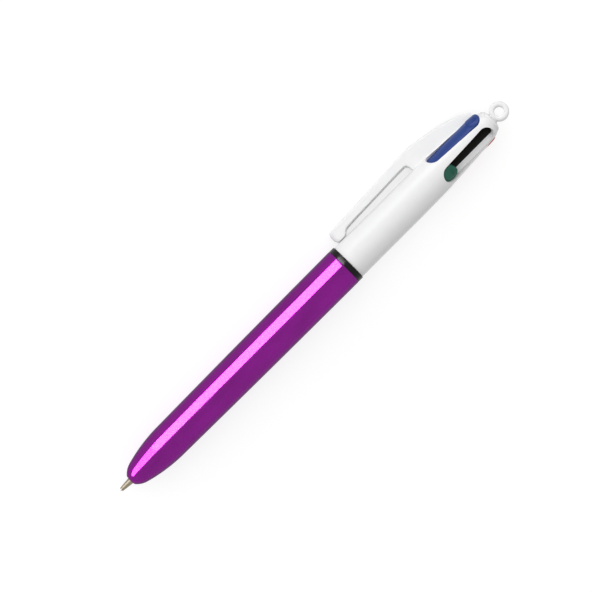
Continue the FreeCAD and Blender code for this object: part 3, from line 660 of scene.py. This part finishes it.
class PEN_OT_joint_band(bpy.types.Operator):
    """Turn the thin black band with its two spigots"""

    bl_idname = "pen.joint_band"
    bl_label = "Black band"

    def execute(self, context):
        rear, bore = sized("barrel_radius", "band_bore")
        band, front_spigot, rear_spigot = rear - 0.03, rear - 0.9, 4.55
        outline = softened([
            (BAND_FRONT, bore, 0.1), (BAND_FRONT, front_spigot, 0.25),
            (BARREL_REAR, front_spigot, 0), (BARREL_REAR, band, 0.12), (BODY_FRONT, band, 0.12),
            (BODY_FRONT, rear_spigot, 0), (BAND_REAR, rear_spigot, 0.2), (BAND_REAR, bore, 0.1)])
        piece = finished("black_band", turned(outline, 112), PEN, "black_gloss")
        shone_on(dressed(piece, "barrel", "joint_ring"), "barrel_and_band")
        return {"FINISHED"}


class PEN_OT_upper_body(bpy.types.Operator):
    """Mould the white upper body with its four slots"""

    bl_idname = "pen.upper_body"
    bl_label = "Upper body"

    columns_on_bar = 14
    half_web = 0.44
    front_bore = 4.62
    rear_bore = 2.5

    def inner_radius(self, along):
        """Inside of the shell, and of the bars between the slots."""
        front, rear = sized("slot_front", "slot_rear")
        return eased([(front + 1.2, 4.56), (front + 2.6, 2.55), (rear, self.rear_bore)], along)

    def web_radius(self, along):
        """Where a bar's side turns into the thin web that reaches inwards."""
        return max(self.inner_radius(along), min(3.92, body_radius(along) - 0.3))

    def half_slot(self, along):
        """Half of a slot's opening at a place along the pen; its ends are half circles."""
        front, rear, width = sized("slot_front", "slot_rear", "slot_width")
        half = width / 2
        depth = max(0.0, min(along - front, rear - along, half))
        return math.sqrt(half ** 2 - (half - depth) ** 2)

    def stations(self):
        """Places of the rows, closer together where the slots end."""
        front, rear, width = sized("slot_front", "slot_rear", "slot_width")
        half = width / 2
        start = BODY_FRONT + 0.18
        turns = [math.pi / 2 * row / 9 for row in range(10)]
        return ([start + (front - start) * row / 30 for row in range(30)]
                + [front + half * (1 - math.cos(turn)) for turn in turns[:-1]]
                + [front + half + (rear - front - width) * row / 22 for row in range(23)]
                + [rear - half * (1 - math.sin(turn)) for turn in turns[1:]])

    def ring(self, shape, along, radius, opening=0.0, web=0.0):
        """Points round the pen, column by column over each bar, from slot edge to slot edge."""
        eighth = math.radians(SLOT_STEP / 2)
        edge = min(math.asin(min(opening / radius, 1.0)), eighth - math.asin(web / radius))
        reach = eighth - edge
        points = []
        for bar in range(len(COLOURS)):
            first = math.radians(SLOT_STEP * bar) - reach
            for column in range(self.columns_on_bar + 1):
                angle = first + 2 * reach * column / self.columns_on_bar
                points.append(shape.verts.new((along, -radius * math.sin(angle),
                                               radius * math.cos(angle))))
        return points

    def execute(self, context):
        radius, rear = sized("body_radius", "slot_rear")
        shape = bmesh.new()
        places = self.stations()
        openings = [self.half_slot(place) for place in places]

        def rings(radius_at, web=0.0):
            return [self.ring(shape, place, radius_at(place), opening, web)
                    for place, opening in zip(places, openings)]

        lip = [self.ring(shape, BODY_FRONT, self.front_bore),
               self.ring(shape, BODY_FRONT, radius - 0.16),
               self.ring(shape, BODY_FRONT + 0.05, radius - 0.06)]
        outer = rings(body_radius)
        end = [self.ring(shape, BODY_REAR - 0.1, body_radius(BODY_REAR - 0.1)),
               self.ring(shape, BODY_REAR, 3.34), self.ring(shape, BODY_REAR, self.rear_bore)]
        middle = rings(self.web_radius, self.half_web)
        inner = rings(self.inner_radius, self.half_web)
        rear_hole = self.ring(shape, rear, self.rear_bore)
        sides = [bar * (self.columns_on_bar + 1) for bar in range(len(COLOURS))]
        columns = [side + column for side in sides for column in range(self.columns_on_bar)]
        skin_rows(shape, lip + outer + end, columns)
        skin_rows(shape, [lip[0], *inner, rear_hole, end[-1]], columns)
        for index in range(len(places) - 1):
            if not any(openings[index:index + 2]):
                continue
            for side in sides:
                for at in (side, side + self.columns_on_bar):
                    for outside, inside in ((outer, middle), (middle, inner)):
                        shape.faces.new((outside[index][at], outside[index + 1][at],
                                         inside[index + 1][at], inside[index][at]))
        unused = [vertex for vertex in shape.verts if not vertex.link_faces]
        bmesh.ops.delete(shape, geom=unused, context="VERTS")
        # At the slots' ends the outer and inner skin meet along the end wall.
        bmesh.ops.remove_doubles(shape, verts=shape.verts, dist=1e-4)
        bmesh.ops.dissolve_degenerate(shape, edges=shape.edges, dist=1e-4)
        dressed(finished("upper_body_shell", shape, PEN, "white_gloss", 25.0), "barrel",
                "upper_body")
        return {"FINISHED"}


class PEN_OT_pocket_clip(bpy.types.Operator):
    """Mould the pocket clip in one with the fin that carries it"""

    bl_idname = "pen.pocket_clip"
    bl_label = "Pocket clip"

    def underside(self, along):
        """Height of the clip's underside: a boss at the free end, a gap, then the fin's foot."""
        root = sized("clip_root")
        if along >= root:
            return body_radius(along) - 0.35
        return eased([(84.1, 6.9), (84.45, 6.15), (85.0, 5.66), (85.7, 5.5), (86.7, 5.52),
                      (87.5, 5.8), (88.1, 6.35), (88.8, 6.8), (90.5, 6.98), (100, 7.28),
                      (root - 1.1, 7.56), (root - 0.45, 7.2), (root - 0.1, 6.3), (root, 5.1)],
                     along)

    def half_width(self, along):
        width, tip, root = sized("clip_width", "clip_tip", "clip_root")
        half = width / 2
        depth = along - tip
        if depth < half:
            rounded = math.sqrt(max(half ** 2 - (half - depth) ** 2, 0.0))
            return max(0.45 + (half - 0.45) * (rounded / half), 0.3)
        return eased([(root + 2.5, half), (119, 1.42), (128, 0.98), (FIN_REAR, 0.6)], along)

    def hollow(self, along):
        """Depth of the channel under the arm."""
        deepest = min(clip_top(along) - 1.2 - self.underside(along), 0.5)
        share = eased([(88.9, 0.0), (89.6, 1.0), (110.4, 1.0), (111.3, 0.0)], along)
        return max(deepest * share, 0.0)

    def section(self, along):
        """Closed outline of the clip or the fin at a place along the pen."""
        tip, root = sized("clip_tip", "clip_root")
        top = clip_top(along) - eased([(tip, 0.75), (tip + 0.12, 0.45), (tip + 0.45, 0.14),
                                       (tip + 0.9, 0.0)], along)
        bottom, half, hollow = self.underside(along), self.half_width(along), self.hollow(along)
        edge = min(0.62, half * 0.6, (top - bottom) * 0.4)
        wall = max(half - 0.9, 0.05)
        roof = bottom + hollow
        side = [(0.0, roof), (wall * 0.96, roof), (wall, roof - min(0.02, hollow)),
                (wall, bottom + 0.02), (wall + 0.02, bottom)]
        quarters = (0.25, 0.5, 0.75, 1.0)
        if along > root + 0.2:
            # The fin's foot flares out into the body.
            flare, ground = 0.42, body_radius(along)
            foot = half + flare
            low = math.sqrt(ground ** 2 - foot ** 2) - 0.1
            rise = math.sqrt(ground ** 2 - half ** 2) + flare - low
            side.append((foot, low))
            side += [(foot - flare * (1 - (1 - t) ** 2), low + rise * t ** 2) for t in quarters]
        else:
            low_edge = 0.16
            start = half - low_edge
            side.append((start, bottom))
            for turn in (math.pi / 2 * t for t in quarters):
                side.append((start + low_edge * math.sin(turn),
                             bottom + low_edge * (1 - math.cos(turn))))
        for turn in (math.pi / 2 * step / 7 for step in range(8)):
            side.append((half - edge + edge * math.cos(turn),
                         top - edge + (edge - 0.02) * math.sin(turn)))
        side += [(max(half - edge, 0.0) * 0.5, top + 0.055), (0.0, top + 0.08)]
        mirrored = [(-x, z) for x, z in reversed(side[1:-1])]
        return [(along, x, z) for x, z in side + mirrored]

    def execute(self, context):
        tip, root = sized("clip_tip", "clip_root")
        rows = 30
        arm = tip + 6.2
        places = [tip + step for step in (
            0, 0.04, 0.12, 0.26, 0.45, 0.7, 1.0, 1.35, 1.7, 2.2, 2.7, 3.1, 3.5, 3.9, 4.3, 4.7, 5.1,
            5.5, 6.2)]
        places += [arm + (root - 2.2 - arm) * row / rows for row in range(1, rows + 1)]
        places += [root - step for step in (1.8, 1.4, 1.1, 0.85, 0.6, 0.4, 0.2, 0.08, 0)]
        places += [root + (FIN_REAR - root) * row / rows for row in range(1, rows + 1)]
        shape = lofted([self.section(place) for place in places])
        piece = finished("pocket_clip_and_fin", shape, PEN, "white_gloss", 50.0)
        blended(piece, "pocket_clip")
        return {"FINISHED"}


class PEN_OT_end_cap(bpy.types.Operator):
    """Mould the domed end cap with the lanyard ring"""

    bl_idname = "pen.end_cap"
    bl_label = "End cap and ring"

    def execute(self, context):
        dome_base, dome_top, dome_radius = BODY_REAR + 0.12, BODY_REAR + 1.3, 3.38
        outline = [(CAP_FRONT, 0.0), (CAP_FRONT, 2.4), (BODY_REAR, 2.4), (BODY_REAR, 3.32),
                   (BODY_REAR + 0.06, dome_radius)]
        for turn in (math.pi / 2 * step / 12 for step in range(12)):
            outline.append((dome_base + (dome_top - dome_base) * math.sin(turn),
                            dome_radius * math.cos(turn) ** 0.85))
        outline.append((dome_top, 0.0))
        shape = turned(outline, 96)
        hole, outside, width = sized("loop_hole", "loop_radius", "loop_width")
        half = width / 2
        section = softened([(hole, -half, 0.62), (outside, -half, 0.95), (outside, half, 0.95),
                            (hole, half, 0.62)], 7)
        centre = LOOP_REAR - outside
        rings = []
        for turn in (2 * math.pi * step / 72 for step in range(72)):
            rings.append([shape.verts.new((centre + radius * math.cos(turn), across,
                                           radius * math.sin(turn))) for radius, across in section])
        skin_rings(shape, rings + rings[:1])
        # A waisted neck leads from the dome into the ring.
        absorb(shape, lofted([
            oval(dome_top + step, half_width, half_height, 32)
            for step, half_width, half_height in (
                (-0.75, 2.2, 2.5), (-0.3, 1.62, 2.05), (-0.05, 1.28, 1.72), (0.25, 1.08, 1.5),
                (0.6, 0.98, 1.3))]))
        dressed(finished("end_cap_shell", shape, PEN, "white_gloss", 50.0), "barrel", "end_cap")
        return {"FINISHED"}


class PEN_OT_sliders(bpy.types.Operator):
    """Mould the four coloured sliders with their thumb pieces and grip ribs"""

    bl_idname = "pen.sliders"
    bl_label = "Coloured sliders"

    stem_height = 2.95
    strip_floor = 3.02

    def outside(self, along, across, rear):
        """Radius of the slider's outer face: the strip, and the thumb piece near its rear end."""
        width, length, strip, thumb, fall = sized(
            "slider_width", "thumb_length", "strip_radius", "thumb_radius", "thumb_fall")
        half = width / 2
        thumb -= fall * max(0.0, min(1 - (rear - along) / length, 1.0))
        past = max(abs(along - (rear - length / 2)) - (length / 2 - half), 0.0)
        share = max(0.0, min((half - math.hypot(past, across)) / 0.95, 1.0))
        return strip + (thumb - strip) * math.sin(share * math.pi / 2) ** 0.8

    def shape_of(self, front, rear):
        """The strip and its thumb piece, with the rear end rounded."""
        half = sized("slider_width") / 2
        columns = range(24)
        rounded = rear - 5.4
        places = [front + (rounded - front) * row / 40 for row in range(40)]
        places += [rounded + 5.4 * math.sin(math.pi / 2 * row / 60) for row in range(61)]
        shape = bmesh.new()
        top, bottom = [], []
        for place in places:
            depth = min(rear - place, half)
            width = math.sqrt(max(half ** 2 - (half - depth) ** 2, 0.0004))
            top.append([])
            bottom.append([])
            for column in range(25):
                across = -width * math.cos(math.pi * column / 24)
                up = math.sqrt(self.outside(place, across, rear) ** 2 - across ** 2)
                top[-1].append(shape.verts.new((place, across, up)))
                bottom[-1].append(shape.verts.new((place, across, self.strip_floor)))
        skin_rows(shape, top, columns)
        skin_rows(shape, bottom, columns)
        for column in (0, -1):
            edges = [(high[column], low[column]) for high, low in zip(top, bottom)]
            skin_rows(shape, edges, [0])
        for index in (0, -1):
            skin_rows(shape, [top[index], bottom[index]], columns)
        return shape

    def execute(self, context):
        for colour in COLOURS:
            body, slot = f"slider_{colour}", slot_of_slider(colour)
            front, rear = ends_of(body)
            front, rear = front + 3.0, rear - 0.6
            latch_lug = [[(along, -0.6, 1.6), (along, 0.6, 1.6), (along, 0.6, 3.1),
                          (along, -0.6, 3.1)] for along in (rear - 7.5, rear - 5.5)]
            spring_shoulder = [
                oval(front + step, radius, radius, 40, self.stem_height)
                for step, radius in ((0, 1.4), (0.12, 1.55), (2.4, 1.55), (2.5, 1.45))]
            nipple = [oval(front + step, radius, radius, 24, self.stem_height)
                      for step, radius in ((-3.0, 0.5), (-2.8, 0.66), (0.2, 0.66))]
            shape = self.shape_of(front, rear)
            for part in (latch_lug, spring_shoulder, nipple):
                absorb(shape, lofted(part))
            piece = finished(f"slider_{colour}_moulding", shape, slot_frame(colour), slot, 40.0)
            dressed(piece, body, body)
            dressed(grip_ribs(colour, rear), body)
        return {"FINISHED"}


def tree_with(name, inputs):
    """A geometry tree with named inputs, and the sockets that bring them."""
    tree = bpy.data.node_groups.new(name, "GeometryNodeTree")
    for label, kind in inputs.items():
        tree.interface.new_socket(label, in_out="INPUT", socket_type=f"NodeSocket{kind}")
    tree.interface.new_socket("Geometry", in_out="OUTPUT", socket_type="NodeSocketGeometry")
    return tree, tree.nodes.new("NodeGroupInput").outputs


def swept(tree, curve, thickness):
    """A round wire along the curve."""
    profile = flow(tree, "GeometryNodeCurvePrimitiveCircle", {
        "Resolution": 12, "Radius": maths(tree, "MULTIPLY", thickness, 0.5)})
    return flow(tree, "GeometryNodeCurveToMesh", {
        "Curve": curve, "Profile Curve": profile, "Fill Caps": True})


def given_out(tree, geometry, finish):
    """Make the geometry real, smooth and painted, and hand it out of the tree."""
    for step, extra in (("RealizeInstances", {}), ("SetShadeSmooth", {}),
                        ("SetMaterial", {"Material": finish})):
        geometry = flow(tree, f"GeometryNode{step}", {"Geometry": geometry, **extra})
    add_node(tree, "NodeGroupOutput", {"Geometry": geometry})
    return tree


def grown(name, tree, values, place, slot):
    """Run a geometry tree once and keep its result as a plain mesh in its place."""
    values["Finish"] = finish_named(slot)
    holder = linked(f"{name}_holder", bpy.data.meshes.new(f"{name}_holder"))
    modifier = holder.modifiers.new("Geometry", "NODES")
    modifier.node_group = tree
    for item in tree.interface.items_tree:
        if item.in_out == "INPUT" and item.name in values:
            modifier[item.identifier] = values[item.name]
    view = bpy.context.evaluated_depsgraph_get()
    mesh = bpy.data.meshes.new_from_object(holder.evaluated_get(view))
    mesh.name = name
    bpy.data.objects.remove(holder)
    mesh.transform(place)
    mesh.update()
    piece = linked(name, mesh)
    return piece


def rib_tree():
    """Rounded ribs in a row along X, each lying across it."""
    tree, given = tree_with("grip_rib_row", {
        "Count": "Int", "Pitch": "Float", "Rib Width": "Float", "Rib Length": "Float",
        "Bow Radius": "Float", "Finish": "Material"})
    sweep = maths(tree, "DIVIDE", given["Rib Length"], given["Bow Radius"])
    bow = flow(tree, "GeometryNodeCurveArc", {
        "Resolution": 17, "Radius": given["Bow Radius"], "Sweep Angle": sweep,
        "Start Angle": maths(tree, "MULTIPLY", sweep, -0.5)}, mode="RADIUS")
    upright = flow(tree, "GeometryNodeTransform", {
        "Geometry": bow, "Rotation": (0, -math.pi / 2, 0)})
    row = flow(tree, "GeometryNodeMeshLine", {
        "Count": given["Count"],
        "Offset": flow(tree, "CombineXYZ", {"X": given["Pitch"]})})
    copies = flow(tree, "GeometryNodeInstanceOnPoints", {
        "Points": row, "Instance": swept(tree, upright, given["Rib Width"])})
    return given_out(tree, copies, given["Finish"])


def grip_ribs(colour, rear):
    """Fine ribs across the crown of a thumb piece."""
    pitch, length, radius, fall = sized("rib_pitch", "thumb_length", "thumb_radius", "thumb_fall")
    count = bpy.context.scene.pen_sizes.rib_count
    start = rear - length / 2 - pitch * (count - 1) / 2
    values = {"Count": count, "Pitch": pitch, "Rib Width": 0.22, "Rib Length": 2.0,
              "Bow Radius": radius - fall / 2 - 0.06}
    tree = bpy.data.node_groups.get("grip_rib_row") or rib_tree()
    place = slot_frame(colour) @ Matrix.Translation((start, 0, 0))
    return grown(f"grip_ribs_{colour}", tree, values, place, slot_of_slider(colour))


def spring_tree():
    """A wire wound along Z, with its end turns lying close together."""
    tree, given = tree_with("return_spring_wire", {
        "Turns": "Float", "Radius": "Float", "Wire": "Float", "Length": "Float",
        "Finish": "Material"})
    wind = flow(tree, "GeometryNodeCurveSpiral", {
        "Resolution": 28, "Height": 1.0, "Rotations": given["Turns"],
        "Start Radius": given["Radius"], "End Radius": given["Radius"]})
    place = flow(tree, "GeometryNodeInputPosition")
    parts = add_node(tree, "SeparateXYZ", {"Vector": place}).outputs
    pace = add_node(tree, "FloatCurve", {"Value": parts["Z"]})
    for point in ((0.17, 0.05), (0.83, 0.95)):
        pace.mapping.curves[0].points.new(*point)
    pace.mapping.update()
    laid = flow(tree, "CombineXYZ", {
        "X": parts["X"], "Y": parts["Y"],
        "Z": maths(tree, "MULTIPLY", pace.outputs["Value"], given["Length"])})
    wind = flow(tree, "GeometryNodeSetPosition", {"Geometry": wind, "Position": laid})
    return given_out(tree, swept(tree, wind, given["Wire"]), given["Finish"])


class PEN_OT_springs(bpy.types.Operator):
    """Wind the four return springs between the plate and the sliders"""

    bl_idname = "pen.springs"
    bl_label = "Return springs"

    def execute(self, context):
        tree = spring_tree()
        wire, radius = sized("spring_wire", "spring_radius")
        for colour in COLOURS:
            along_refill, pivot = refill_frame(colour)
            seat = slot_frame(colour)
            lean = (seat.inverted() @ along_refill).to_3x3() @ Vector((1, 0, 0))
            tilt = math.asin(min(abs(lean.z), 1.0))
            clear = wire / 2 + 0.04 + (radius + wire / 2) * math.sin(tilt)
            length = (pivot.x - GUIDE_REAR - 2 * clear) / math.cos(tilt)
            values = {"Turns": float(context.scene.pen_sizes.spring_turns), "Radius": radius,
                      "Wire": wire, "Length": length}
            place = (along_refill @ Matrix.Translation((-clear - length, 0, 0))
                     @ Matrix.Rotation(math.pi / 2, 4, "Y"))
            piece = grown(f"return_spring_{colour}", tree, values, place, "spring_steel")
            blended(piece, f"spring_{colour}")
        return {"FINISHED"}


class PEN_OT_refills(bpy.types.Operator):
    """Turn the four writing points and balls, and dress the refill tubes"""

    bl_idname = "pen.refills"
    bl_label = "Refills and points"

    ball_front = -98.0

    def point_outline(self, ball):
        """Section of a point, measured from the front of its ball."""
        corners = [(0.42, ball + 0.005), (0.5, ball + 0.05), (0.72, ball + 0.1), (1.0, ball + 0.13),
                   (4.9, 1.06), (5.0, 1.13), (5.15, 1.14), (6.3, 1.14), (6.4, 1.04), (6.8, 1.04),
                   (6.9, 1.14), (9.0, 1.14), (9.0, 0.83), (12.8, 0.83), (13.0, 0.6), (13.0, 0.0),
                   (1.04, 0.0), (1.04, ball + 0.02)]
        return [(self.ball_front + along, radius) for along, radius in corners]

    def execute(self, context):
        radius = sized("ball_radius")
        turns = [math.pi * step / 20 for step in range(21)]
        half_round = [(self.ball_front + radius * (1 - math.cos(turn)), radius * math.sin(turn))
                      for turn in turns]
        for colour in COLOURS:
            place, body = refill_frame(colour)[0], f"refill_{colour}"
            point = finished(f"point_{colour}_turning", turned(self.point_outline(radius), 72),
                             place, "point_metal", 30.0)
            shone_on(dressed(point, body, f"writing_point_{colour}"), "points")
            ball = finished(f"ball_{colour}_sphere", turned(half_round, 40), place, "ball_metal")
            shone_on(dressed(ball, body, f"writing_ball_{colour}"), "points")
            repaint(f"refill_tube_{colour}", "tube_plastic")
        return {"FINISHED"}


class PEN_OT_inner_parts(bpy.types.Operator):
    """Give the core and the spring plate their dark plastic"""

    bl_idname = "pen.inner_parts"
    bl_label = "Core and plate"

    def execute(self, context):
        for node in ("slider_core", "spring_guide"):
            repaint(node, "inner_plastic")
        return {"FINISHED"}


class PEN_PT_panel(bpy.types.Panel):
    """Lists the pen's pieces, sizes and colours"""

    bl_idname = "PEN_PT_panel"
    bl_label = "Multicolour Click Pen"
    bl_space_type = "VIEW_3D"
    bl_region_type = "UI"
    bl_category = "Pen"

    def draw(self, context):
        column = self.layout.column(align=True)
        for maker in MAKERS:
            column.operator(maker.bl_idname)
        for group in (context.scene.pen_sizes, context.scene.pen_colours):
            box = self.layout.box()
            for name in group.__annotations__:
                box.prop(group, name)


MAKERS = [PEN_OT_stage, PEN_OT_front_barrel, PEN_OT_joint_band, PEN_OT_upper_body,
          PEN_OT_pocket_clip, PEN_OT_end_cap, PEN_OT_sliders, PEN_OT_springs, PEN_OT_refills,
          PEN_OT_inner_parts]
CLASSES = [PEN_PG_sizes, PEN_PG_colours, *MAKERS, PEN_PT_panel]


def register():
    for cls in CLASSES:
        bpy.utils.register_class(cls)
    bpy.types.Scene.pen_sizes = PointerProperty(type=PEN_PG_sizes)
    bpy.types.Scene.pen_colours = PointerProperty(type=PEN_PG_colours)


def unregister():
    del bpy.types.Scene.pen_colours
    del bpy.types.Scene.pen_sizes
    for cls in reversed(CLASSES):
        bpy.utils.unregister_class(cls)


def main():
    register()
    bpy.ops.pen.stage()
    bpy.ops.pen.front_barrel()
    bpy.ops.pen.joint_band()
    bpy.ops.pen.upper_body()
    bpy.ops.pen.pocket_clip()
    bpy.ops.pen.end_cap()
    bpy.ops.pen.sliders()
    bpy.ops.pen.springs()
    bpy.ops.pen.refills()
    bpy.ops.pen.inner_parts()


if __name__ == "__main__":
    main()
